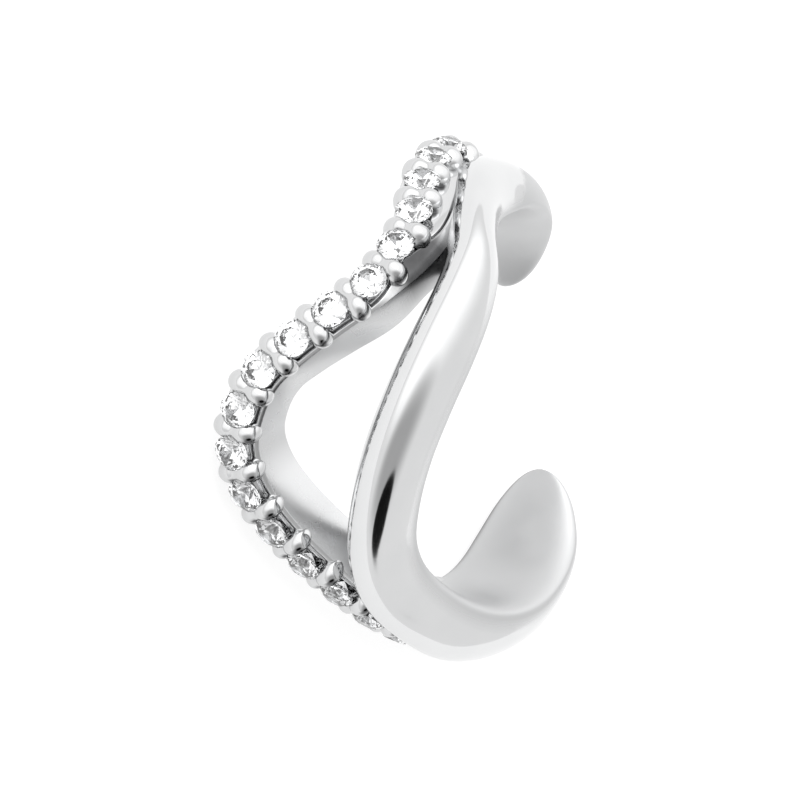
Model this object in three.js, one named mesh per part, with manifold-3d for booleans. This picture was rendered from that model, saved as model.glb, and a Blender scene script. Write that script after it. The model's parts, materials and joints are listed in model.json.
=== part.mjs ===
// Ear cuff, in millimetres. An open silver ring whose front splits into a plain domed band and a
// wavy rail. The rail carries one row of round brilliants, held between shared pairs of beads.
// The ring is drawn about its own axis first, and then laid on its side as it rests by itself.
import * as THREE from 'three';
import { ConvexGeometry } from 'three/addons/geometries/ConvexGeometry.js';
import { ConvexHull } from 'three/addons/math/ConvexHull.js';
import { mergeVertices } from 'three/addons/utils/BufferGeometryUtils.js';
import Module from 'manifold-3d';

const wasm = await Module();
wasm.setup();

// Driving dimensions: the ring and its plain band
const outerRadius = 6.5;
const innerRadius = 4.7;
const bandWidth = 2.0;
const faceShare = 0.8;
const widestShare = 0.2;
const twistPivot = 0.4;
const strandSpread = 4.5;
const bottomNoseLength = 3.8;
const topNoseLength = 3.2;
const noseWidthShare = 0.06;
const noseHeightShare = 0.3;

// Driving dimensions: the stones
const stoneCount = 17;
const stoneDiameter = 1.0;
const stoneSpacing = 0.262;
const tableShare = 0.56;
const crownHeight = 0.15;
const girdleHeight = 0.04;
const pavilionDepth = 0.43;
const stoneClearance = 0.03;
const firstStoneAngle = 90;

// Driving dimensions: the rail that carries them
const railWidth = 1.18;
const railFootWidth = 1.34;
const railEdgeRound = 0.08;
const railEndHeight = 0.3;
const bridgeWidth = 0.8;
const bridgeHeight = 0.32;
const notchLength = 0.64;
const girdleBelowCrown = 0.12;
const beadAlong = 0.54;
const beadAcross = 0.56;
const beadTall = 1.0;
const beadOverEdge = 0.04;
const beadProud = 0.08;

// Fineness of the faceted solids
const bandSteps = 60;
const noseCrowding = 0.44;
const railSteps = 44;
const domeSides = 10;
const beadSides = 10;
const beadRings = 6;
const girdleSides = 16;
const seatSides = 12;

const degree = Math.PI / 180;
const stonePitch = stoneDiameter + stoneSpacing;
const bridgeBelowCrown = girdleBelowCrown + girdleHeight;
const ledgeBelowCrown = bridgeBelowCrown + bridgeHeight;

// The plain band, from its lower free end round the front to its upper free end. The angle runs
// from the front, in degrees, up over the top. Across is a share of strandSpread, width a share
// of bandWidth, bore a share of innerRadius and crown a share of outerRadius. Twist is how far the
// inner face turns to the front, in degrees, about a line at twistPivot of the band's height.
const bandRows = [
  { angle: -153, across: -0.09, width: 1.38, bore: 1.00, crown: 0.90, twist: 0 },
  { angle: -139, across: -0.01, width: 1.42, bore: 1.00, crown: 0.95, twist: 0 },
  { angle: -126, across: 0.06, width: 1.44, bore: 1.00, crown: 0.99, twist: 0 },
  { angle: -109, across: 0.11, width: 1.44, bore: 1.00, crown: 1.03, twist: 0 },
  { angle: -95, across: 0.11, width: 1.34, bore: 1.00, crown: 1.03, twist: 0 },
  { angle: -80, across: 0.08, width: 1.14, bore: 1.00, crown: 1.02, twist: 0 },
  { angle: -65, across: 0.00, width: 0.97, bore: 1.00, crown: 1.00, twist: 0 },
  { angle: -50, across: -0.10, width: 0.88, bore: 1.00, crown: 1.00, twist: 0 },
  { angle: -35, across: -0.135, width: 0.84, bore: 1.00, crown: 1.00, twist: 0 },
  { angle: -19, across: -0.12, width: 0.84, bore: 1.00, crown: 1.00, twist: 0 },
  { angle: -3, across: -0.10, width: 0.86, bore: 1.00, crown: 1.00, twist: 0 },
  { angle: 14, across: -0.075, width: 0.87, bore: 1.00, crown: 1.00, twist: 0 },
  { angle: 30, across: -0.07, width: 0.85, bore: 1.00, crown: 1.00, twist: 0 },
  { angle: 44, across: -0.10, width: 0.78, bore: 1.01, crown: 1.00, twist: 0 },
  { angle: 56, across: -0.18, width: 0.72, bore: 1.03, crown: 1.00, twist: 0 },
  { angle: 66, across: -0.31, width: 0.70, bore: 1.05, crown: 1.00, twist: 0 },
  { angle: 76, across: -0.43, width: 0.72, bore: 1.07, crown: 1.00, twist: 0 },
  { angle: 86, across: -0.54, width: 0.88, bore: 1.08, crown: 1.00, twist: 0 },
  { angle: 98, across: -0.64, width: 1.18, bore: 1.08, crown: 1.00, twist: 10 },
  { angle: 112, across: -0.66, width: 1.26, bore: 1.08, crown: 1.00, twist: 24 },
  { angle: 127, across: -0.68, width: 1.22, bore: 1.08, crown: 0.99, twist: 32 },
  { angle: 140, across: -0.69, width: 1.14, bore: 1.08, crown: 0.96, twist: 35 },
  { angle: 154, across: -0.68, width: 1.06, bore: 1.08, crown: 0.92, twist: 35 },
];

// The rail's middle line and the crown that its stones reach, in the same terms. Past its first
// and last bead it drops into the band. Web is how far its wall is filled out towards the band,
// as a share of railWidth: the two strands are cast together from there up.
const railRows = [
  { angle: -98, across: 0.05, crown: 0.80, web: 0.00 },
  { angle: -88, across: -0.02, crown: 0.94, web: 0.00 },
  { angle: -80, across: -0.07, crown: 1.00, web: 0.00 },
  { angle: -73, across: -0.12, crown: 1.00, web: 0.00 },
  { angle: -66, across: -0.18, crown: 1.00, web: 0.00 },
  { angle: -58, across: -0.27, crown: 1.00, web: 0.00 },
  { angle: -50, across: -0.41, crown: 1.00, web: 0.00 },
  { angle: -43, across: -0.575, crown: 1.00, web: 0.00 },
  { angle: -35, across: -0.765, crown: 1.00, web: 0.00 },
  { angle: -26, across: -0.935, crown: 1.00, web: 0.00 },
  { angle: -16, across: -1.04, crown: 1.00, web: 0.00 },
  { angle: -5, across: -1.05, crown: 1.00, web: 0.00 },
  { angle: 6, across: -0.99, crown: 1.00, web: 0.00 },
  { angle: 15, across: -0.87, crown: 1.00, web: 0.00 },
  { angle: 25, across: -0.72, crown: 1.00, web: 0.00 },
  { angle: 35, across: -0.58, crown: 1.00, web: 0.00 },
  { angle: 46, across: -0.55, crown: 1.00, web: 0.00 },
  { angle: 57, across: -0.58, crown: 1.01, web: 0.42 },
  { angle: 68, across: -0.69, crown: 1.02, web: 0.46 },
  { angle: 78, across: -0.77, crown: 1.03, web: 0.32 },
  { angle: 89, across: -0.82, crown: 1.03, web: 0.12 },
  { angle: 99, across: -0.82, crown: 1.02, web: 0.00 },
  { angle: 108, across: -0.80, crown: 0.97, web: 0.00 },
  { angle: 118, across: -0.76, crown: 0.84, web: 0.00 },
];

// Reads a table of rows as smooth functions of the angle, one for each column.
function smoothColumns(rows) {
  const columns = Object.keys(rows[0]).filter((name) => name !== 'angle');
  const angles = rows.map((row) => row.angle);
  const values = rows.flatMap((row) => columns.map((name) => row[name]));
  const curve = new THREE.CubicInterpolant(angles, values, columns.length, new Float64Array(columns.length));
  return (angle) => {
    const found = curve.evaluate(THREE.MathUtils.clamp(angle, angles[0], angles[angles.length - 1]));
    return Object.fromEntries(columns.map((name, index) => [name, found[index]]));
  };
}

const bandAt = smoothColumns(bandRows);
const railAt = smoothColumns(railRows);
const boreRadius = (angle) => innerRadius * bandAt(angle).bore;
const railCrown = (angle) => outerRadius * railAt(angle).crown;

// A point of the ring: the axis is +Z, the front faces -Y and the top is -X.
function ringPoint(angle, radius, across) {
  const turn = angle * degree;
  return new THREE.Vector3(-radius * Math.sin(turn), -radius * Math.cos(turn), across);
}

// The directions at one place of a strand: along it, outwards from the axis, and across it.
function strandFrame(at, angle) {
  const step = 0.25;
  const before = ringPoint(angle - step, outerRadius, strandSpread * at(angle - step).across);
  const after = ringPoint(angle + step, outerRadius, strandSpread * at(angle + step).across);
  const out = ringPoint(angle, 1, 0);
  const along = after.sub(before);
  along.addScaledVector(out, -along.dot(out)).normalize();
  const side = new THREE.Vector3().crossVectors(along, out);
  return { along, out, side, across: strandSpread * at(angle).across };
}

// Joins rings of points into one closed skin, with a flat fan at each end.
function loft(rings) {
  const sides = rings[0].length;
  const points = rings.flat();
  const faces = [];
  for (let ring = 0; ring + 1 < rings.length; ring++) {
    for (let side = 0; side < sides; side++) {
      const a = ring * sides + side;
      const b = ring * sides + (side + 1) % sides;
      faces.push(a, b + sides, b, a, a + sides, b + sides);
    }
  }
  for (const [ring, flip] of [[0, false], [rings.length - 1, true]]) {
    const middle = points.length;
    const centre = new THREE.Vector3();
    rings[ring].forEach((point) => centre.addScaledVector(point, 1 / sides));
    points.push(centre);
    for (let side = 0; side < sides; side++) {
      const a = ring * sides + side;
      const b = ring * sides + (side + 1) % sides;
      faces.push(middle, flip ? b : a, flip ? a : b);
    }
  }
  const geometry = new THREE.BufferGeometry().setFromPoints(points);
  geometry.setIndex(faces);
  return geometry;
}

// Turns a closed geometry into a solid that can be joined and cut, and back again.
function solidFrom(geometry) {
  const bare = geometry.clone();
  bare.deleteAttribute('normal');
  bare.deleteAttribute('uv');
  const merged = mergeVertices(bare, 1e-5);
  const vertProperties = new Float32Array(merged.attributes.position.array);
  const triVerts = new Uint32Array(merged.index.array);
  return new wasm.Manifold(new wasm.Mesh({ numProp: 3, vertProperties, triVerts }));
}

function geometryFrom(solid) {
  const mesh = solid.getMesh();
  const geometry = new THREE.BufferGeometry();
  geometry.setAttribute('position', new THREE.BufferAttribute(mesh.vertProperties, 3));
  geometry.setIndex(new THREE.BufferAttribute(mesh.triVerts, 1));
  geometry.computeVertexNormals();
  return geometry;
}

const bandFirst = bandRows[0].angle;
const bandLast = bandRows[bandRows.length - 1].angle;
const shoulderShare = (faceShare + 2) / 3;
const shoulderRise = 0.45;

// How much of its size a strand keeps near a free end that is rounded over noseLength.
function noseShare(angle, endAngle, noseLength) {
  const left = Math.abs(endAngle - angle) * degree * outerRadius;
  const gone = THREE.MathUtils.clamp(1 - left / noseLength, 0, 1);
  return Math.sqrt(Math.max(1 - gone * gone, 0));
}

// The plain band: a flat inner face, shoulders that lean out from it and a dome over them, with
// a round nose at each free end.
function bandRing(angle) {
  const { width, crown, twist } = bandAt(angle);
  const frame = strandFrame(bandAt, angle);
  const share = Math.min(noseShare(angle, bandFirst, bottomNoseLength), noseShare(angle, bandLast, topNoseLength));
  const halfWidth = bandWidth / 2 * width * Math.max(share, noseWidthShare);
  const fullHeight = outerRadius * crown - boreRadius(angle);
  const height = fullHeight * THREE.MathUtils.lerp(noseHeightShare, 1, share);
  const widest = widestShare * height;
  const outline = [
    [-faceShare * halfWidth, 0],
    [faceShare * halfWidth, 0],
    [shoulderShare * halfWidth, shoulderRise * widest],
  ];
  for (let step = 0; step <= domeSides; step++) {
    const turn = Math.PI * step / domeSides;
    outline.push([halfWidth * Math.cos(turn), widest + (height - widest) * Math.sin(turn)]);
  }
  outline.push([-shoulderShare * halfWidth, shoulderRise * widest]);
  const pivot = new THREE.Vector2(0, twistPivot * height);
  return outline.map((point) => new THREE.Vector2(...point).rotateAround(pivot, twist * degree))
    .map(({ x, y }) => ringPoint(angle, boreRadius(angle) + y, frame.across).addScaledVector(frame.side, x));
}

// The rings of points lie closer together towards the two noses.
function makeBand() {
  const rings = [];
  for (let step = 0; step <= bandSteps; step++) {
    const even = step / bandSteps;
    const eased = even - noseCrowding * Math.sin(2 * Math.PI * even) / (2 * Math.PI);
    rings.push(bandRing(THREE.MathUtils.lerp(bandFirst, bandLast, eased)));
  }
  return solidFrom(loft(rings));
}

// The rail: leaning side walls up to a ledge, and a narrower bridge on it up to the girdles.
function railRing(angle) {
  const frame = strandFrame(railAt, angle);
  const bore = boreRadius(angle);
  const foot = railFootWidth / 2;
  const half = railWidth / 2;
  const web = railWidth * railAt(angle).web;
  const ledge = Math.max(railCrown(angle) - ledgeBelowCrown, bore + railEndHeight);
  const bridge = ledge + bridgeHeight;
  const outline = [
    [-foot + railEdgeRound, bore],
    [foot + web - railEdgeRound, bore],
    [foot + web, bore + railEdgeRound],
    [half + web, ledge],
    [bridgeWidth / 2, ledge],
    [bridgeWidth / 2, bridge],
    [-bridgeWidth / 2, bridge],
    [-bridgeWidth / 2, ledge],
    [-half, ledge],
    [-foot, bore + railEdgeRound],
  ];
  return outline.map(([side, radius]) => ringPoint(angle, radius, frame.across)
    .addScaledVector(frame.side, side));
}

function makeRail() {
  const first = railRows[0].angle;
  const last = railRows[railRows.length - 1].angle;
  const rings = [];
  for (let step = 0; step <= railSteps; step++) {
    rings.push(railRing(THREE.MathUtils.lerp(first, last, step / railSteps)));
  }
  return solidFrom(loft(rings));
}

// Walks down the rail from the first stone and gives the angle after each equal stretch.
function anglesAlongRail(startAngle, stretch, count) {
  const found = [startAngle];
  const step = 0.05;
  let walked = 0;
  for (let angle = startAngle; found.length < count && angle > railRows[0].angle; angle -= step) {
    const rise = strandSpread * (railAt(angle).across - railAt(angle - step).across);
    walked += Math.hypot((railCrown(angle) - girdleBelowCrown) * step * degree, rise);
    if (walked >= stretch) {
      found.push(angle - step);
      walked -= stretch;
    }
  }
  return found;
}

const halfPitchAngles = anglesAlongRail(firstStoneAngle, stonePitch / 2, 2 * stoneCount);
const stoneAngles = halfPitchAngles.filter((angle, index) => index % 2 === 0);
const gapAngles = halfPitchAngles.filter((angle, index) => index % 2 === 1);
const firstHalfStep = halfPitchAngles[0] - halfPitchAngles[1];
const beadAngles = [firstStoneAngle + firstHalfStep, ...gapAngles];

// The placement at some depth below the rail's crown: X along the row, Y across it and Z outwards.
function railPlacement(angle, below) {
  const frame = strandFrame(railAt, angle);
  const placement = new THREE.Matrix4().makeBasis(frame.along, frame.side.clone().negate(), frame.out);
  return placement.setPosition(ringPoint(angle, railCrown(angle) - below, frame.across));
}

// A round brilliant with its girdle's middle at the origin and its table towards +Z. The kite
// facets of the crown and the pavilion are flat, because their corners share a plane.
function makeBrilliant() {
  const radius = stoneDiameter / 2;
  const table = radius * tableShare;
  const half = girdleHeight / 2;
  const cornerTurn = 2 * Math.PI / girdleSides;
  const starRadius = 0.8 * radius;
  const starHeight = crownHeight * (radius - starRadius * Math.cos(cornerTurn)) / (radius - table);
  const keelRadius = 0.22 * radius;
  const keelDepth = pavilionDepth * (1 - keelRadius * Math.cos(cornerTurn) / radius);
  const points = [new THREE.Vector3(0, 0, -half - pavilionDepth)];
  for (let corner = 0; corner < girdleSides; corner++) {
    const turn = corner * cornerTurn;
    const at = (reach, height) => new THREE.Vector3(reach * Math.cos(turn), reach * Math.sin(turn), height);
    points.push(at(radius, half), at(radius, -half));
    if (corner % 2 === 0) points.push(at(table, half + crownHeight));
    else points.push(at(starRadius, half + starHeight), at(keelRadius, -half - keelDepth));
  }
  return new ConvexGeometry(points);
}

// The room that a stone needs in the metal: its own outline and a clearance, open above it.
function makeSeatCutter() {
  const flat = 1 / Math.cos(Math.PI / seatSides);
  const wide = (stoneDiameter / 2 + stoneClearance) * flat;
  const table = (stoneDiameter / 2 * tableShare + stoneClearance) * flat;
  const half = girdleHeight / 2 + stoneClearance;
  const above = beadTall;
  const profile = [
    new THREE.Vector2(0, -half - pavilionDepth - stoneClearance),
    new THREE.Vector2(wide, -half),
    new THREE.Vector2(wide, half),
    new THREE.Vector2(table, half + crownHeight),
    new THREE.Vector2(table, above),
    new THREE.Vector2(0, above),
  ];
  return new THREE.LatheGeometry(profile, seatSides).rotateX(Math.PI / 2);
}

// The open notch across the rail below each stone, which leaves a bridge between two stones.
function makeNotchCutter() {
  const tall = ledgeBelowCrown + beadTall;
  return new THREE.BoxGeometry(notchLength, 2 * railFootWidth, tall).translate(0, 0, tall / 2);
}

// One bead of a pair: a tall dome that rises from the ledge beside the gap between two stones.
function makeBead(side) {
  const reach = railWidth / 2 + beadOverEdge - beadAcross / 2;
  return new THREE.SphereGeometry(0.5, beadSides, beadRings).rotateX(Math.PI / 2)
    .scale(beadAlong, beadAcross, beadTall).translate(0, side * reach, -beadTall / 2);
}

function makeBody() {
  const beads = beadAngles.flatMap((angle) => [-1, 1].map((side) =>
    solidFrom(makeBead(side).applyMatrix4(railPlacement(angle, -beadProud)))));
  const seats = stoneAngles.map((angle) =>
    solidFrom(makeSeatCutter().applyMatrix4(railPlacement(angle, girdleBelowCrown))));
  const notches = stoneAngles.map((angle) =>
    solidFrom(makeNotchCutter().applyMatrix4(railPlacement(angle, ledgeBelowCrown))));
  const rail = notches.reduce((left, notch) => left.subtract(notch), makeRail());
  const metal = beads.reduce((joined, bead) => joined.add(bead), makeBand().add(rail));
  return geometryFrom(seats.reduce((left, seat) => left.subtract(seat), metal));
}

const silver = { color: 0xd9dbdd, metalness: 1.0, roughness: 0.16 };
const clearStone = { color: 0xf4f8fb, metalness: 0.0, roughness: 0.02 };

// The centre of a closed mesh, from the tetrahedra between its faces and the origin.
function centreOfSolid(geometry) {
  const { position } = geometry.attributes;
  const corners = [0, 1, 2].map(() => new THREE.Vector3());
  const centre = new THREE.Vector3();
  let total = 0;
  for (let face = 0; face < geometry.index.count; face += 3) {
    corners.forEach((corner, turn) => corner.fromBufferAttribute(position, geometry.index.getX(face + turn)));
    const volume = corners[0].dot(new THREE.Vector3().crossVectors(corners[1], corners[2])) / 6;
    corners.forEach((corner) => centre.addScaledVector(corner, volume / 4));
    total += volume;
  }
  return centre.divideScalar(total);
}

// The direction that is up when the ring lies on the rail's side: the flat that its hull offers
// under its centre, of all those that face away from the plain band.
function restingUp(ring, centre) {
  const hull = new ConvexHull().setFromObject(ring);
  let best = null;
  for (const face of hull.faces) {
    const reach = face.normal.dot(face.midpoint.clone().sub(centre));
    const corners = [face.edge, face.edge.next, face.edge.prev].map((edge) => edge.head().point);
    const foot = centre.clone().addScaledVector(face.normal, reach);
    const under = new THREE.Triangle(...corners).containsPoint(foot);
    if (under && face.normal.z < 0 && (best === null || reach < best.reach)) {
      best = { reach, up: face.normal.clone().negate() };
    }
  }
  return best.up;
}

const ring = new THREE.Group();
const body = new THREE.Mesh(makeBody(), new THREE.MeshStandardMaterial(silver));
body.name = 'cuff_body';
ring.add(body);

const brilliant = makeBrilliant();
stoneAngles.forEach((angle, index) => {
  const stone = new THREE.Mesh(brilliant.clone(), new THREE.MeshStandardMaterial(clearStone));
  stone.name = `stone_${String(index + 1).padStart(2, '0')}`;
  stone.position.setFromMatrixPosition(railPlacement(angle, girdleBelowCrown));
  stone.quaternion.setFromRotationMatrix(railPlacement(angle, girdleBelowCrown));
  ring.add(stone);
});

// Lays the ring down: its resting side on the floor, its front towards -Y and its box centred.
ring.updateMatrixWorld(true);
const up = restingUp(ring, centreOfSolid(body.geometry));
const back = new THREE.Vector3(0, 1, 0);
back.addScaledVector(up, -back.dot(up)).normalize();
const right = new THREE.Vector3().crossVectors(back, up);
ring.quaternion.setFromRotationMatrix(new THREE.Matrix4().makeBasis(right, back, up).transpose());
ring.updateMatrixWorld(true);
const room = new THREE.Box3().setFromObject(ring, true);
const middle = room.getCenter(new THREE.Vector3());
ring.position.set(-middle.x, -middle.y, -room.min.z);

const earCuff = new THREE.Group();
earCuff.add(ring);
export default earCuff;
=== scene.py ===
import json
import math

import bmesh
import bpy
from mathutils import Matrix, Vector


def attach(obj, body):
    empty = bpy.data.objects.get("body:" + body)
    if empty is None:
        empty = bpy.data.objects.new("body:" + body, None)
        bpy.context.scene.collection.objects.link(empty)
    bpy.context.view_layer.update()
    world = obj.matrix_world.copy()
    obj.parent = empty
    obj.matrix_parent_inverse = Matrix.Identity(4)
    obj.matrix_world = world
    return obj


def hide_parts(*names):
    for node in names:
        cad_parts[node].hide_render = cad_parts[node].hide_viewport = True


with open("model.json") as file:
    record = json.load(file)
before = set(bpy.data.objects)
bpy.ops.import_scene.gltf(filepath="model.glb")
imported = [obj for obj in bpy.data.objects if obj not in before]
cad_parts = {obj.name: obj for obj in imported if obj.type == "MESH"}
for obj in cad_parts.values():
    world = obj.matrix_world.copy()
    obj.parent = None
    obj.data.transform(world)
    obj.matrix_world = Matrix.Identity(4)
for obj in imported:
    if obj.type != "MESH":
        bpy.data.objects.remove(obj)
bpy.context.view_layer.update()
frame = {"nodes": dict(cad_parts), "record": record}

# The plain band: one cast silver bar, flat where it lies on the ear and domed outside, bent into an
# open ring. It swells towards two free ends that are rounded to noses, the top one turned a little
# about its own length. It is polished bright outside and left satin inside.
MM = 0.001
OUTER_RADIUS = 6.5 * MM
INNER_RADIUS = 4.7 * MM
BAND_WIDTH = 2.0 * MM
STRAND_SPREAD = 4.5 * MM
BOTTOM_NOSE = 3.8 * MM
TOP_NOSE = 3.2 * MM
WIDEST_SHARE = 0.2
NOSE_HEIGHT = 0.3
NOSE_ROUNDING = 3
TWIST_PIVOT = 0.4
SQUARENESS = 3.4
BAND_STATIONS = 170
BAND_SIDES = 72
END_CROWDING = 0.9
MERGE_DISTANCE = 0.0002 * MM

SATIN_RISE = 0.25
SATIN_FADE = 0.3
FLANK_ANGLE = 99
FLANK_STRETCH = 8
FLANK_SATIN = 0.6
FLANK_CRISPNESS = 0.18
# Painted shade: a dark line painted along the band's side wall towards the rail, just outside its satin
# inner face.
SIDE_SHADE = 0.65
SIDE_SHADE_END = 0.75
SIDE_SHADE_FADE = 0.2

CLOUD_SCALE = 900.0
CLOUD_DETAIL = 4.0
GRAIN_SCALE = 9000.0
GRAIN_DETAIL = 3.0
GRAIN_POLISHED = 0.15
GRAIN_STRENGTH = 0.12
GRAIN_HEIGHT = 0.01 * MM
POLISHED_ROUGHNESS = 0.07
CLOUD_ROUGHNESS = 0.04
SATIN_ROUGHNESS = 0.22
SATIN_CLOUD = 0.2
SATIN_DULLING = 0.45
# Painted shade: a near black that the silver is mixed towards where a mesh holds painted shade, mottled by
# the cloud.
PAINTED_SHADE_COVER = 0.8
PAINTED_SHADE_CLOUD = 0.3
SOFT_SILVER = (0.655, 0.66, 0.665, 1)
BRIGHT_SILVER = (0.71, 0.712, 0.715, 1)
SATIN_SILVER = (0.42, 0.423, 0.427, 1)
PAINTED_SHADE_COLOUR = (0.07, 0.07, 0.072, 1)

# Angles are in degrees from the front over the top, across is a share of STRAND_SPREAD, width of
# BAND_WIDTH, bore of INNER_RADIUS, crown of OUTER_RADIUS, and twist is in degrees.
band_rows = [
    {"angle": -153, "across": -0.09, "width": 1.38, "bore": 1.00, "crown": 0.90, "twist": 0},
    {"angle": -139, "across": -0.01, "width": 1.42, "bore": 1.00, "crown": 0.95, "twist": 0},
    {"angle": -126, "across": 0.06, "width": 1.44, "bore": 1.00, "crown": 0.99, "twist": 0},
    {"angle": -109, "across": 0.11, "width": 1.44, "bore": 1.00, "crown": 1.03, "twist": 0},
    {"angle": -95, "across": 0.11, "width": 1.34, "bore": 1.00, "crown": 1.03, "twist": 0},
    {"angle": -80, "across": 0.08, "width": 1.14, "bore": 1.00, "crown": 1.02, "twist": 0},
    {"angle": -65, "across": 0.00, "width": 0.97, "bore": 1.00, "crown": 1.00, "twist": 0},
    {"angle": -50, "across": -0.10, "width": 0.88, "bore": 1.00, "crown": 1.00, "twist": 0},
    {"angle": -35, "across": -0.135, "width": 0.84, "bore": 1.00, "crown": 1.00, "twist": 0},
    {"angle": -19, "across": -0.12, "width": 0.84, "bore": 1.00, "crown": 1.00, "twist": 0},
    {"angle": -3, "across": -0.10, "width": 0.86, "bore": 1.00, "crown": 1.00, "twist": 0},
    {"angle": 14, "across": -0.075, "width": 0.87, "bore": 1.00, "crown": 1.00, "twist": 0},
    {"angle": 30, "across": -0.07, "width": 0.85, "bore": 1.00, "crown": 1.00, "twist": 0},
    {"angle": 44, "across": -0.10, "width": 0.78, "bore": 1.01, "crown": 1.00, "twist": 0},
    {"angle": 56, "across": -0.18, "width": 0.72, "bore": 1.03, "crown": 1.00, "twist": 0},
    {"angle": 66, "across": -0.31, "width": 0.70, "bore": 1.05, "crown": 1.00, "twist": 0},
    {"angle": 76, "across": -0.43, "width": 0.72, "bore": 1.07, "crown": 1.00, "twist": 0},
    {"angle": 86, "across": -0.54, "width": 0.88, "bore": 1.08, "crown": 1.00, "twist": 0},
    {"angle": 98, "across": -0.64, "width": 1.18, "bore": 1.08, "crown": 1.00, "twist": 10},
    {"angle": 112, "across": -0.66, "width": 1.26, "bore": 1.08, "crown": 1.00, "twist": 24},
    {"angle": 127, "across": -0.68, "width": 1.22, "bore": 1.08, "crown": 0.99, "twist": 32},
    {"angle": 140, "across": -0.69, "width": 1.14, "bore": 1.08, "crown": 0.96, "twist": 35},
    {"angle": 154, "across": -0.68, "width": 1.06, "bore": 1.08, "crown": 0.92, "twist": 35},
]

# The ring's own directions, from the mount at its centre: its axis, its front and its top.
rim = next(m for m in frame["record"]["mounts"] if m["name"] == "ear_rim")
ring_axis = Vector(rim["axis"]).normalized()
ring_front = Vector((1, 0, 0)).cross(ring_axis).normalized()
ring_top = ring_front.cross(ring_axis)
ring_matrix = Matrix((-ring_top, -ring_front, ring_axis)).transposed().to_4x4()
ring_matrix.translation = Vector(rim["pos_m"])


def clamp(value):
    return min(max(value, 0), 1)


def column(rows, name):
    """One column of a table as a smooth curve of the angle, through each of its rows."""
    at = [row["angle"] for row in rows]
    value = [row[name] for row in rows]

    def read(angle):
        angle = min(max(angle, at[0]), at[-1])
        k = next((i for i in range(len(at) - 2) if angle < at[i + 1]), len(at) - 2)
        t0, t1 = at[k], at[k + 1]
        before, v_before = (at[k - 1], value[k - 1]) if k > 0 else (t1, value[k + 1])
        after, v_after = (at[k + 2], value[k + 2]) if k + 2 < len(at) else (t0, value[k])
        w0 = (t1 - t0) / 2 / (t0 - before)
        w1 = (t1 - t0) / 2 / (after - t1)
        p = (angle - t0) / (t1 - t0)
        return (v_before * (-w0 * p**3 + 2 * w0 * p**2 - w0 * p)
                + value[k] * ((1 + w0) * p**3 - (1.5 + 2 * w0) * p**2 + (w0 - 0.5) * p + 1)
                + value[k + 1] * (-(1 + w1) * p**3 + (1.5 + w1) * p**2 + 0.5 * p)
                + v_after * (w1 * p**3 - w1 * p**2))

    return read


def ring_point(angle, radius, across):
    """A point of the ring: the angle runs from the front up over the top."""
    turn = math.radians(angle)
    return Vector((-radius * math.sin(turn), -radius * math.cos(turn), across))


def strand_frame(across, angle):
    """The directions at one place of a strand: along it, outwards, and across it."""
    step = 0.25
    before = ring_point(angle - step, OUTER_RADIUS, STRAND_SPREAD * across(angle - step))
    after = ring_point(angle + step, OUTER_RADIUS, STRAND_SPREAD * across(angle + step))
    out = ring_point(angle, 1, 0)
    along = after - before
    along = (along - out * along.dot(out)).normalized()
    return along, out, along.cross(out)


def finish_mesh(bm, name):
    """Merges doubles, turns the faces outwards and links the mesh as an object."""
    bmesh.ops.remove_doubles(bm, verts=bm.verts, dist=MERGE_DISTANCE)
    bmesh.ops.recalc_face_normals(bm, faces=bm.faces)
    for face in bm.faces:
        face.smooth = True
    mesh = bpy.data.meshes.new(name)
    bm.to_mesh(mesh)
    bm.free()
    made = bpy.data.objects.new(name, mesh)
    bpy.context.scene.collection.objects.link(made)
    return made


class Wire:
    """A shader socket that sums, differences and products can be written with."""

    def __init__(self, tree, socket=None):
        self.tree = tree
        self.socket = socket

    def node(self, kind, settings=None, inputs=None, output=0):
        """Adds a node: its settings first, then the values or links of its sockets."""
        made = self.tree.nodes.new(kind)
        for name, value in (settings or {}).items():
            setattr(made, name, value)
        for name, value in (inputs or {}).items():
            if isinstance(value, Wire):
                self.tree.links.new(value.socket, made.inputs[name])
            else:
                made.inputs[name].default_value = value
        return Wire(self.tree, made.outputs[output]) if made.outputs else None

    def math(self, operation, first, second):
        return self.node("ShaderNodeMath", {"operation": operation}, {0: first, 1: second})

    def __add__(self, other):
        return self.math("ADD", self, other)

    def __radd__(self, other):
        return self.math("ADD", other, self)

    def __sub__(self, other):
        return self.math("SUBTRACT", self, other)

    def __rsub__(self, other):
        return self.math("SUBTRACT", other, self)

    def __mul__(self, other):
        return self.math("MULTIPLY", self, other)

    def __rmul__(self, other):
        return self.math("MULTIPLY", other, self)


def new_material(name):
    material = bpy.data.materials.new(name)
    material.use_nodes = True
    material.node_tree.nodes.clear()
    return material, Wire(material.node_tree)


def mix_colours(wire, factor, first, second):
    """The colour sockets of a Mix node come after those for numbers and vectors."""
    return wire.node("ShaderNodeMix", {"data_type": "RGBA"}, {
        "Factor": factor, 6: first, 7: second}, output=2)


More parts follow.
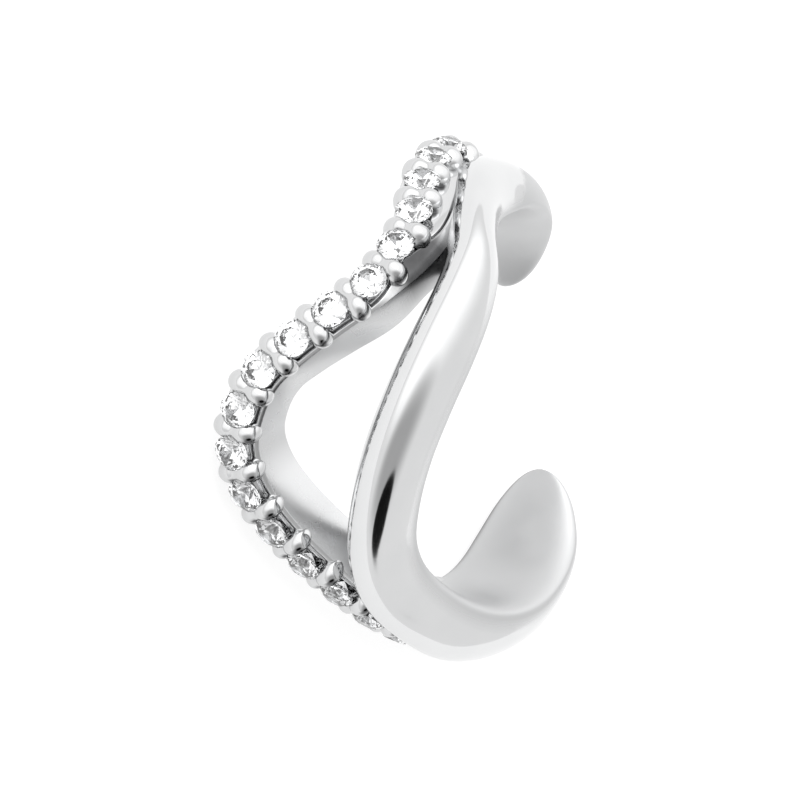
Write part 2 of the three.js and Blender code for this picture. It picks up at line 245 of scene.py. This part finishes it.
def silver(name):
    """Silver with clouding and fine grain. A mesh may hold its share of satin and of painted shade."""
    material, wire = new_material(name)
    place = wire.node("ShaderNodeTexCoord", output="Object")
    cloud = wire.node("ShaderNodeTexNoise", None, {
        "Vector": place, "Scale": CLOUD_SCALE, "Detail": CLOUD_DETAIL})
    grain = wire.node("ShaderNodeTexNoise", None, {
        "Vector": place, "Scale": GRAIN_SCALE, "Detail": GRAIN_DETAIL})
    satin = wire.node("ShaderNodeAttribute", {"attribute_name": "satin"}, output="Fac")
    painted_shade = wire.node("ShaderNodeAttribute", {"attribute_name": "painted_shade"}, output="Fac")
    roughness = POLISHED_ROUGHNESS + CLOUD_ROUGHNESS * cloud
    roughness = roughness + satin * (SATIN_ROUGHNESS + SATIN_CLOUD * cloud)
    bump = wire.node("ShaderNodeBump", None, {
        "Strength": GRAIN_STRENGTH, "Distance": GRAIN_HEIGHT,
        "Height": grain * (GRAIN_POLISHED + (1 - GRAIN_POLISHED) * satin)})
    bright = mix_colours(wire, cloud, SOFT_SILVER, BRIGHT_SILVER)
    worn = mix_colours(wire, satin * SATIN_DULLING, bright, SATIN_SILVER)
    # Painted shade: the silver darkens towards a near black by the mesh's share of painted shade.
    tone = mix_colours(wire, painted_shade * (PAINTED_SHADE_COVER + PAINTED_SHADE_CLOUD * cloud), worn, PAINTED_SHADE_COLOUR)
    shader = wire.node("ShaderNodeBsdfPrincipled", None, {
        "Base Color": tone, "Metallic": 1.0, "Roughness": roughness, "Normal": bump})
    wire.node("ShaderNodeOutputMaterial", None, {"Surface": shader})
    return material


band_across = column(band_rows, "across")
band_width = column(band_rows, "width")
band_bore = column(band_rows, "bore")
band_crown = column(band_rows, "crown")
band_twist = column(band_rows, "twist")
band_first = band_rows[0]["angle"]
band_last = band_rows[-1]["angle"]


def nose_share(angle, end, length):
    """How much of the full section is left near a free end: a quarter of an ellipse."""
    left = math.radians(abs(end - angle)) * OUTER_RADIUS
    gone = clamp(1 - left / length)
    return math.sqrt(max(1 - gone * gone, 0))


def band_satin_and_shade(angle, towards_rail, facing_in):
    """The skin's satin and painted shade: satin inside and on the turned end, painted shade on the side
    towards the rail.
    """
    turned = clamp((angle - FLANK_ANGLE) / FLANK_STRETCH) if towards_rail < 0 else 0
    satin = clamp((facing_in + SATIN_RISE + FLANK_SATIN * turned) / (SATIN_FADE - FLANK_CRISPNESS * turned))
    shaded = clamp((SIDE_SHADE_END - facing_in) / SIDE_SHADE_FADE) if towards_rail > 0 else 0
    return satin, SIDE_SHADE * satin * shaded


def band_point(round_share, along_share):
    """A point of the band's skin, in the ring's own directions, and its satin and painted shade."""
    crowding = END_CROWDING * math.sin(2 * math.pi * along_share) / (2 * math.pi)
    angle = band_first + (band_last - band_first) * (along_share - crowding)
    side = strand_frame(band_across, angle)[2]
    share = min(nose_share(angle, band_first, BOTTOM_NOSE), nose_share(angle, band_last, TOP_NOSE))
    half = BAND_WIDTH / 2 * band_width(angle) * share
    bore = INNER_RADIUS * band_bore(angle)
    fall = (NOSE_HEIGHT + (1 - NOSE_HEIGHT) * share) * (1 - (1 - share) ** NOSE_ROUNDING)
    height = (OUTER_RADIUS * band_crown(angle) - bore) * fall
    widest = WIDEST_SHARE * height
    turn = 2 * math.pi * round_share
    c, s = math.cos(turn), math.sin(turn)
    if s >= 0:
        corner = 1
        rise = widest + (height - widest) * s
    else:
        corner = (abs(c) ** SQUARENESS + abs(s) ** SQUARENESS) ** (-1 / SQUARENESS)
        rise = widest * (1 + s * corner)
    reach = half * c * corner
    tilt = math.radians(band_twist(angle))
    pivot = TWIST_PIVOT * height
    across = reach * math.cos(tilt) - (rise - pivot) * math.sin(tilt)
    outwards = bore + pivot + (rise - pivot) * math.cos(tilt) + reach * math.sin(tilt)
    where = ring_point(angle, outwards, STRAND_SPREAD * band_across(angle)) + side * across
    return where, band_satin_and_shade(angle, -c, -s * corner)


bm = bmesh.new()
bmesh.ops.create_grid(bm, x_segments=BAND_SIDES, y_segments=BAND_STATIONS, size=0.5)
satin = bm.verts.layers.float.new("satin")
# This layer holds painted shade: a dark line along the band's side wall towards the rail.
painted_shade = bm.verts.layers.float.new("painted_shade")
for vert in bm.verts:
    place, satin_and_shade = band_point((vert.co.x + 0.5) % 1.0, vert.co.y + 0.5)
    vert[satin], vert[painted_shade] = satin_and_shade
    vert.co = ring_matrix @ place
band = finish_mesh(bm, "plain_band")
band.data.materials.append(silver("silver_band"))
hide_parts("cuff_body")
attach(band, "root")

# The rail: a bar of the same casting with leaning side walls, a ledge with a scored line along its
# lip on each side of its top, and a groove for the points of the stones. It runs in a wave beside
# the band, and under the beads near the top it widens into a web that slopes down to the band.
RAIL_WIDTH = 1.18 * MM
RAIL_FOOT = 1.34 * MM
LEDGE_BELOW_CROWN = 0.48 * MM
GROOVE_WIDTH = 0.5 * MM
GROOVE_DEPTH = 0.2 * MM
LIP_WIDTH = 0.05 * MM
SCORE_WIDTH = 0.08 * MM
SCORE_DEPTH = 0.14 * MM
RAIL_CHAMFER = 0.08 * MM
WEB_SLOPE = 0.46 * MM
RAIL_EDGE = 0.014 * MM
RAIL_EDGE_STEPS = 3
RAIL_EDGE_LEAST = 0.5
RAIL_ABOVE_BORE = 0.05 * MM
RAIL_END_STRETCH = 10
RAIL_END_LIFT = 0.02 * MM
RAIL_END_HEIGHT = 0.3 * MM
RAIL_SMOOTH_FROM = 93
RAIL_SMOOTH_OVER = 5
RAIL_SMOOTH_RISE = 0.36 * MM
RAIL_STATIONS = 220

WALL_SATIN = 0.6
# Painted shade: the pocket where the web slopes down to the band near the top is painted dark, most at
# POCKET_ANGLE.
POCKET_ANGLE = 48
POCKET_REACH = 11
POCKET_FADE = 0.5
# Painted shade in the rail's top: under each lip, on the ledge beside each scored line and in the groove's
# bottom, and in full at the bottom of each scored line.
LIP_PAINTED_SHADE = 0.3
LEDGE_PAINTED_SHADE = 0.1
GROOVE_PAINTED_SHADE = 0.6

# Across and crown are shares as in the band's table. Web is how much wider the rail is on the
# band's side, as a share of RAIL_WIDTH, and slope is how much of WEB_SLOPE its shoulder has.
rail_rows = [
    {"angle": -98, "across": 0.05, "crown": 0.80, "web": 0.00, "slope": 0.00},
    {"angle": -88, "across": -0.02, "crown": 0.94, "web": 0.00, "slope": 0.00},
    {"angle": -80, "across": -0.07, "crown": 1.00, "web": 0.00, "slope": 0.00},
    {"angle": -73, "across": -0.12, "crown": 1.00, "web": 0.00, "slope": 0.00},
    {"angle": -66, "across": -0.18, "crown": 1.00, "web": 0.00, "slope": 0.00},
    {"angle": -58, "across": -0.27, "crown": 1.00, "web": 0.00, "slope": 0.00},
    {"angle": -50, "across": -0.41, "crown": 1.00, "web": 0.00, "slope": 0.00},
    {"angle": -43, "across": -0.575, "crown": 1.00, "web": 0.00, "slope": 0.00},
    {"angle": -35, "across": -0.765, "crown": 1.00, "web": 0.00, "slope": 0.00},
    {"angle": -26, "across": -0.935, "crown": 1.00, "web": 0.00, "slope": 0.00},
    {"angle": -16, "across": -1.04, "crown": 1.00, "web": 0.00, "slope": 0.00},
    {"angle": -5, "across": -1.05, "crown": 1.00, "web": 0.00, "slope": 0.00},
    {"angle": 6, "across": -0.99, "crown": 1.00, "web": 0.00, "slope": 0.00},
    {"angle": 15, "across": -0.87, "crown": 1.00, "web": 0.00, "slope": 0.00},
    {"angle": 25, "across": -0.72, "crown": 1.00, "web": 0.00, "slope": 0.00},
    {"angle": 35, "across": -0.58, "crown": 1.00, "web": 0.00, "slope": 0.05},
    {"angle": 46, "across": -0.55, "crown": 1.00, "web": 0.12, "slope": 0.85},
    {"angle": 57, "across": -0.58, "crown": 1.01, "web": 0.42, "slope": 0.40},
    {"angle": 68, "across": -0.69, "crown": 1.02, "web": 0.46, "slope": 0.10},
    {"angle": 78, "across": -0.77, "crown": 1.03, "web": 0.32, "slope": 0.00},
    {"angle": 89, "across": -0.82, "crown": 1.03, "web": 0.12, "slope": 0.00},
    {"angle": 99, "across": -0.82, "crown": 1.02, "web": 0.00, "slope": 0.00},
    {"angle": 108, "across": -0.80, "crown": 0.97, "web": 0.00, "slope": 0.00},
    {"angle": 118, "across": -0.76, "crown": 0.84, "web": 0.00, "slope": 0.00},
]
rail_across = column(rail_rows, "across")
rail_crown_share = column(rail_rows, "crown")
rail_web = column(rail_rows, "web")
rail_slope = column(rail_rows, "slope")
rail_first = rail_rows[0]["angle"]
rail_last = rail_rows[-1]["angle"]


def rail_crown(angle):
    return OUTER_RADIUS * rail_crown_share(angle)


def rail_section(angle):
    """The corners round the rail at one place: reach to the band's side, radius, satin, painted shade."""
    past_end = max(rail_first + RAIL_END_STRETCH - angle, angle - rail_last + RAIL_END_STRETCH, 0)
    foot = INNER_RADIUS * band_bore(angle) + RAIL_ABOVE_BORE + RAIL_END_LIFT * past_end
    smooth = clamp((angle - RAIL_SMOOTH_FROM) / RAIL_SMOOTH_OVER)
    ledge = rail_crown(angle) - LEDGE_BELOW_CROWN + RAIL_SMOOTH_RISE * smooth
    ledge = max(ledge, foot + RAIL_END_HEIGHT)
    cut = 1 - smooth
    score_bottom = ledge - SCORE_DEPTH * cut
    groove_bottom = ledge - GROOVE_DEPTH * cut
    web = RAIL_WIDTH * rail_web(angle)
    slope = RAIL_CHAMFER + (WEB_SLOPE - RAIL_CHAMFER) * rail_slope(angle)
    shoulder = ledge - min(slope, ledge - foot - RAIL_CHAMFER)
    lip = RAIL_WIDTH / 2 + web - slope
    far_lip = RAIL_WIDTH / 2 - RAIL_CHAMFER
    groove = GROOVE_WIDTH / 2
    # Painted shade in the pocket of the web, on the rail's shoulder on the band's side.
    pocket = clamp((1 - abs(angle - POCKET_ANGLE) / POCKET_REACH) / POCKET_FADE)
    # The last value of each corner is its painted shade: in the pocket, along the lips, scored lines and
    # ledge, and in the groove.
    return [
        (-RAIL_FOOT / 2, foot, WALL_SATIN, 0.0),
        (RAIL_FOOT / 2 + web, foot, WALL_SATIN, 0.0),
        (RAIL_WIDTH / 2 + web, shoulder, WALL_SATIN, pocket),
        (lip, ledge, 0.0, pocket),
        (lip - LIP_WIDTH, ledge, 0.0, LIP_PAINTED_SHADE * cut),
        (lip - LIP_WIDTH - SCORE_WIDTH / 2, score_bottom, 0.0, cut),
        (lip - LIP_WIDTH - SCORE_WIDTH, ledge, 0.0, LEDGE_PAINTED_SHADE),
        (groove, ledge, 0.0, 0.0),
        (groove, groove_bottom, 0.0, GROOVE_PAINTED_SHADE * cut),
        (-groove, groove_bottom, 0.0, GROOVE_PAINTED_SHADE * cut),
        (-groove, ledge, 0.0, 0.0),
        (-far_lip + LIP_WIDTH + SCORE_WIDTH, ledge, 0.0, LEDGE_PAINTED_SHADE),
        (-far_lip + LIP_WIDTH + SCORE_WIDTH / 2, score_bottom, 0.0, cut),
        (-far_lip + LIP_WIDTH, ledge, 0.0, LIP_PAINTED_SHADE * cut),
        (-far_lip, ledge, 0.0, 0.0),
        (-RAIL_WIDTH / 2, ledge - RAIL_CHAMFER, WALL_SATIN, 0.0),
    ]


rail_corners = len(rail_section(rail_first))
bm = bmesh.new()
bmesh.ops.create_grid(bm, x_segments=rail_corners, y_segments=RAIL_STATIONS, size=0.5)
satin = bm.verts.layers.float.new("satin")
painted_shade = bm.verts.layers.float.new("painted_shade")
for vert in bm.verts:
    corner = round((vert.co.x + 0.5) * rail_corners) % rail_corners
    angle = rail_first + (rail_last - rail_first) * (vert.co.y + 0.5)
    reach, radius, vert[satin], vert[painted_shade] = rail_section(angle)[corner]
    side = strand_frame(rail_across, angle)[2]
    middle = ring_point(angle, radius, STRAND_SPREAD * rail_across(angle))
    vert.co = ring_matrix @ (middle + side * reach)
bmesh.ops.remove_doubles(bm, verts=bm.verts, dist=MERGE_DISTANCE)
bmesh.ops.holes_fill(bm, edges=bm.edges, sides=rail_corners)
bmesh.ops.recalc_face_normals(bm, faces=bm.faces)
long_edges = [edge for edge in bm.edges if edge.is_manifold and edge.calc_face_angle(0) > RAIL_EDGE_LEAST]
bmesh.ops.bevel(bm, geom=long_edges, offset=RAIL_EDGE, segments=RAIL_EDGE_STEPS, profile=0.5,
                affect="EDGES", material=-1)
rail = finish_mesh(bm, "rail")
rail.modifiers.new("even_shading", "WEIGHTED_NORMAL").keep_sharp = True
rail.data.materials.append(silver("silver_rail"))
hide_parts("cuff_body")
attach(rail, "root")

# The beads: between two stones a smooth bar of metal crosses the rail and swells to a round bead
# on each end of it, turned down over the rail's side and pressed over the stones' edges. Every bead
# is darkened a little by painted shade and carries a painted dark reflection at its lower tip.
STONE_COUNT = 17
STONE_DIAMETER = 1.0 * MM
STONE_SPACING = 0.262 * MM
FIRST_STONE_ANGLE = 90
GIRDLE_BELOW_CROWN = 0.12 * MM
PAVILION_DEPTH = 0.43 * MM
CROWN_HEIGHT = 0.15 * MM
TABLE_SHARE = 0.56
BEAD_ALONG = 0.74 * MM
BEAD_TALL = 1.0 * MM
BEAD_PROUD = 0.08 * MM
BEADS_ACROSS = 1.32 * MM
BEADS_SQUARENESS = 2.5
WAIST_REACH = 0.17 * MM
WAIST_NARROWING = 0.34
WAIST_DIP = 0.09 * MM
BEAD_PRESSED = 0.09 * MM
BEAD_SEGMENTS = 36
BEAD_RINGS = 28
# Painted shade: BEAD_SHADE darkens every bead a little. A painted dark reflection covers the part of each
# bead that faces one fixed direction of the ring, in full within the inner angle and fading out at the
# outer.
BEAD_SHADE = 0.12
DARK_REFLECTION_TOWARDS = Vector((0.436, -0.546, 0.699))
DARK_REFLECTION_INNER = math.cos(math.radians(14))
DARK_REFLECTION_OUTER = math.cos(math.radians(27))
NEARLY_NONE = 1e-6


def angles_along_rail(start, stretch, count):
    """Walks down the rail and gives the angle after each equal stretch."""
    found, step, walked, angle = [start], 0.05, 0.0, start
    while len(found) < count and angle > rail_first:
        rise = STRAND_SPREAD * (rail_across(angle) - rail_across(angle - step))
        walked += math.hypot((rail_crown(angle) - GIRDLE_BELOW_CROWN) * math.radians(step), rise)
        if walked >= stretch:
            found.append(angle - step)
            walked -= stretch
        angle -= step
    return found


pitch = STONE_DIAMETER + STONE_SPACING
half_pitch_angles = angles_along_rail(FIRST_STONE_ANGLE, pitch / 2, 2 * STONE_COUNT)
above_first_stone = 2 * half_pitch_angles[0] - half_pitch_angles[1]
bead_angles = [above_first_stone] + half_pitch_angles[1::2]


def crown_placement(angle):
    """At the middle of the rail's crown: X along the row, Y across it and Z outwards."""
    along, out, side = strand_frame(rail_across, angle)
    place = Matrix((along, -side, out)).transposed().to_4x4()
    place.translation = ring_point(angle, rail_crown(angle), STRAND_SPREAD * rail_across(angle))
    return ring_matrix @ place


def stone_reach(below_crown):
    """How far a stone reaches from its middle at some depth below the crown."""
    depth = below_crown - GIRDLE_BELOW_CROWN
    if depth > 0:
        share = 1 - depth / PAVILION_DEPTH
    else:
        share = 1 + depth / CROWN_HEIGHT * (1 - TABLE_SHARE)
    return STONE_DIAMETER / 2 * max(share, 0)


def bead_pair_point(unit):
    """Moves a point of a round ball to the pair of beads and the bar that joins them."""
    across = unit.z * BEADS_ACROSS / 2
    ring = max(math.hypot(unit.x, unit.y), NEARLY_NONE)
    share = max(1 - abs(unit.z) ** BEADS_SQUARENESS, 0) ** (1 / BEADS_SQUARENESS)
    waist = math.exp(-(across / WAIST_REACH) ** 2)
    along = unit.x / ring * BEAD_ALONG / 2 * share * (1 - WAIST_NARROWING * waist)
    rise = unit.y / ring * BEAD_TALL / 2 * share
    height = BEAD_PROUD - BEAD_TALL / 2 + rise - WAIST_DIP * waist * max(unit.y / ring, 0)
    reach = stone_reach(-height)
    room = pitch / 2 - math.sqrt(max(reach * reach - across * across, 0))
    if height > -GIRDLE_BELOW_CROWN:
        room += BEAD_PRESSED
    return Vector((math.copysign(min(abs(along), room), along), across, height))


bm = bmesh.new()
for angle in bead_angles:
    made = bmesh.ops.create_uvsphere(bm, u_segments=BEAD_SEGMENTS, v_segments=BEAD_RINGS, radius=1)
    place = crown_placement(angle)
    for vert in made["verts"]:
        vert.co = place @ bead_pair_point(vert.co)
bmesh.ops.recalc_face_normals(bm, faces=bm.faces)
bm.normal_update()
painted_shade = bm.verts.layers.float.new("painted_shade")
# Painted dark reflection where a bead faces the fixed direction, and a light painted shade on all the rest.
dark_reflection = (ring_matrix.to_3x3() @ DARK_REFLECTION_TOWARDS).normalized()
for vert in bm.verts:
    into_dark_reflection = (vert.normal.dot(dark_reflection) - DARK_REFLECTION_OUTER) / (DARK_REFLECTION_INNER - DARK_REFLECTION_OUTER)
    vert[painted_shade] = max(min(into_dark_reflection, 1), BEAD_SHADE)
beads = finish_mesh(bm, "beads")
beads.data.materials.append(silver("silver_beads"))
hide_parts("cuff_body")
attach(beads, "root")

# The stones: clear round brilliants with a table, kites, stars and halves, ground flat and set in
# the rail's seats. They keep the solids of the frame and only take the finish of a white stone
# that bends light strongly, with the faintest haze.
STONE_WHITE = (0.985, 0.99, 1.0, 1)
STONE_BENDING = 2.1
STONE_HAZE = 0.02
HAZE_SCALE = 2500.0
HAZE_DETAIL = 2.0

material, wire = new_material("clear_stone")
place = wire.node("ShaderNodeTexCoord", output="Object")
haze = wire.node("ShaderNodeTexNoise", None, {"Vector": place, "Scale": HAZE_SCALE, "Detail": HAZE_DETAIL})
shader = wire.node("ShaderNodeBsdfPrincipled", None, {
    "Base Color": STONE_WHITE, "Roughness": haze * STONE_HAZE, "IOR": STONE_BENDING,
    "Transmission Weight": 1.0})
wire.node("ShaderNodeOutputMaterial", None, {"Surface": shader})
for name, node in frame["nodes"].items():
    if name.startswith("stone_"):
        node.data.materials.clear()
        node.data.materials.append(material)

# The floor: a plain white sheet that glows a little by itself, so that it stays as pale as the
# photograph's background and takes only a faint shadow.
FLOOR_HALF = 2.0
FLOOR_GREY = (0.3, 0.3, 0.3, 1)
FLOOR_WHITE = (1, 1, 1, 1)
FLOOR_ROUGHNESS = 0.9
FLOOR_GLOW = 0.78

bm = bmesh.new()
bmesh.ops.create_grid(bm, x_segments=1, y_segments=1, size=FLOOR_HALF)
floor = finish_mesh(bm, "floor")
material, wire = new_material("floor_white")
shader = wire.node("ShaderNodeBsdfPrincipled", None, {
    "Base Color": FLOOR_GREY, "Roughness": FLOOR_ROUGHNESS,
    "Emission Color": FLOOR_WHITE, "Emission Strength": FLOOR_GLOW})
wire.node("ShaderNodeOutputMaterial", None, {"Surface": shader})
floor.data.materials.append(material)

# The light: an even white surround with a brighter window on one side, a grey veil, and one dark
# card whose reflection draws the streak on the band. A wide soft lamp adds the gentle modelling.
WINDOW = {"towards": (-0.93, -0.1, 0.35), "inner": 60, "outer": 98}
CARD = {"towards": (0.90, -0.02, 0.43), "inner": 14.5, "outer": 17.5}
VEIL = {"towards": (0.6, -0.3, 0.74), "inner": 12, "outer": 45}
WINDOW_GAIN = 0.55
WINDOW_FULL_HEIGHT = 0.4
VEIL_DEPTH = 0.5
CARD_DEPTH = 0.985
LAMP_DIRECTION = Vector((-0.62, -0.2, 0.76))
LAMP_STRENGTH = 0.6
LAMP_SPREAD = 50

world = bpy.data.worlds.new("surround")
bpy.context.scene.world = world
world.use_nodes = True
world.node_tree.nodes.clear()
wire = Wire(world.node_tree)
direction = wire.node("ShaderNodeTexCoord", output="Generated")


def glow(towards, inner, outer):
    """1 within inner degrees of a direction, falling softly to 0 at outer degrees."""
    near = wire.node("ShaderNodeVectorMath", {"operation": "DOT_PRODUCT"},
                     {0: direction, 1: Vector(towards).normalized()}, output="Value")
    return wire.node("ShaderNodeMapRange", {"interpolation_type": "SMOOTHSTEP"}, {
        "Value": near, "From Min": math.cos(math.radians(outer)), "From Max": math.cos(math.radians(inner))})


window = glow(**WINDOW)
card = glow(**CARD)
veil = glow(**VEIL)
height = wire.node("ShaderNodeSeparateXYZ", None, {"Vector": direction}, output="Z")
above = wire.node("ShaderNodeMapRange", {"interpolation_type": "SMOOTHSTEP"}, {
    "Value": height, "From Min": 0.0, "From Max": WINDOW_FULL_HEIGHT})
strength = (1 + WINDOW_GAIN * window * above) * (1 - VEIL_DEPTH * veil) * (1 - CARD_DEPTH * card)
background = wire.node("ShaderNodeBackground", None, {"Color": (1, 1, 1, 1), "Strength": strength})
wire.node("ShaderNodeOutputWorld", None, {"Surface": background})

lamp_data = bpy.data.lights.new("soft_box", "SUN")
lamp_data.energy = LAMP_STRENGTH
lamp_data.angle = math.radians(LAMP_SPREAD)
lamp = bpy.data.objects.new("soft_box", lamp_data)
lamp.rotation_euler = LAMP_DIRECTION.to_track_quat("Z", "Y").to_euler()
bpy.context.scene.collection.objects.link(lamp)

# The camera: a long lens at the photograph's angle to the ring, given in the ring's own
# directions, and aimed a little beside its middle, as the photograph is framed.
VIEW_DIRECTION = Vector((-0.268, -0.8765, 0.400))
IMAGE_RIGHT = Vector((-0.250, 0.464, 0.850))
AIM_RIGHT = -2.826 * MM
AIM_UP = 0.586 * MM
CAMERA_DISTANCE = 178.3 * MM
FOCAL_LENGTH = 300
SENSOR_WIDTH = 36
CLIP_START = 10 * MM

ring_turn = ring_matrix.to_3x3()
right = (ring_turn @ IMAGE_RIGHT).normalized()
back = ring_turn @ VIEW_DIRECTION
back = (back - right * back.dot(right)).normalized()
up = back.cross(right)
aim = ring_matrix.translation + right * AIM_RIGHT + up * AIM_UP
lens = bpy.data.cameras.new("camera")
lens.lens = FOCAL_LENGTH
lens.sensor_width = SENSOR_WIDTH
lens.clip_start = CLIP_START
camera = bpy.data.objects.new("camera", lens)
camera_turn = Matrix((right, up, back)).transposed().to_4x4()
camera.matrix_world = Matrix.Translation(aim + back * CAMERA_DISTANCE) @ camera_turn
bpy.context.scene.collection.objects.link(camera)
bpy.context.scene.camera = camera
bpy.context.scene.view_settings.view_transform = "Standard"
